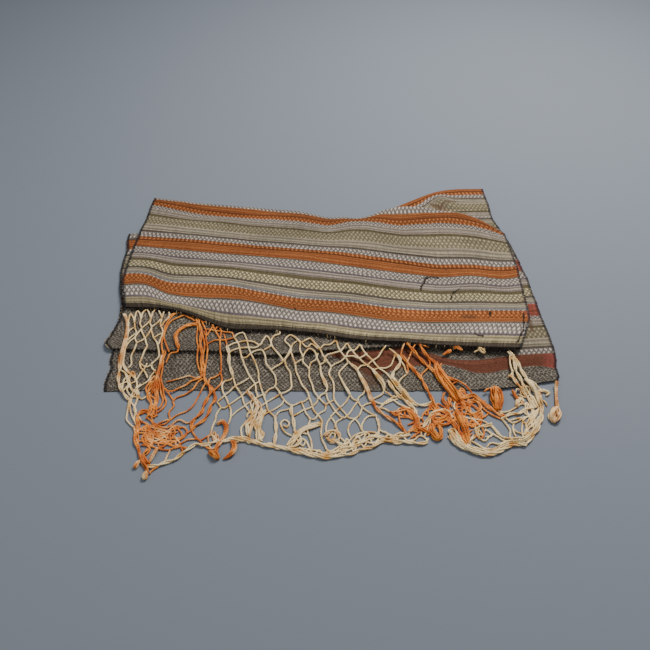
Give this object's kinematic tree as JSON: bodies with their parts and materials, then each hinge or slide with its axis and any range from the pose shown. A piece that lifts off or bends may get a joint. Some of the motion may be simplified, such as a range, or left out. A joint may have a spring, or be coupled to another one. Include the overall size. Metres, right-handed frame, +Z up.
{
  "type": "folded rebozo shawl with knotted fringe",
  "caption": "Handwoven striped shawl folded back and forth into a flat packet, its knotted net fringe spread out in front.",
  "frame": {"origin": "on the table under the middle of the whole object's box", "axes": "+X to the right along the cloth's width, +Y to the back fold, away from the near fringe, +Z up from the table"},
  "size_m": [0.8112, 0.6958, 0.0151],
  "materials": {
    "striped_cloth": "handwoven cotton in grey, beige, olive, white and orange bands with small zigzags and diamonds",
    "fringe_yarn": "knotted plied yarn, cream and dyed orange in places",
    "far_fringe_yarn": "plied yarn locks, cream and orange"
  },
  "bodies": {
    "root": {"shawl_cloth": "striped_cloth", "net_fringe": "fringe_yarn", "far_fringe": "far_fringe_yarn"}
  },
  "joints": []
}
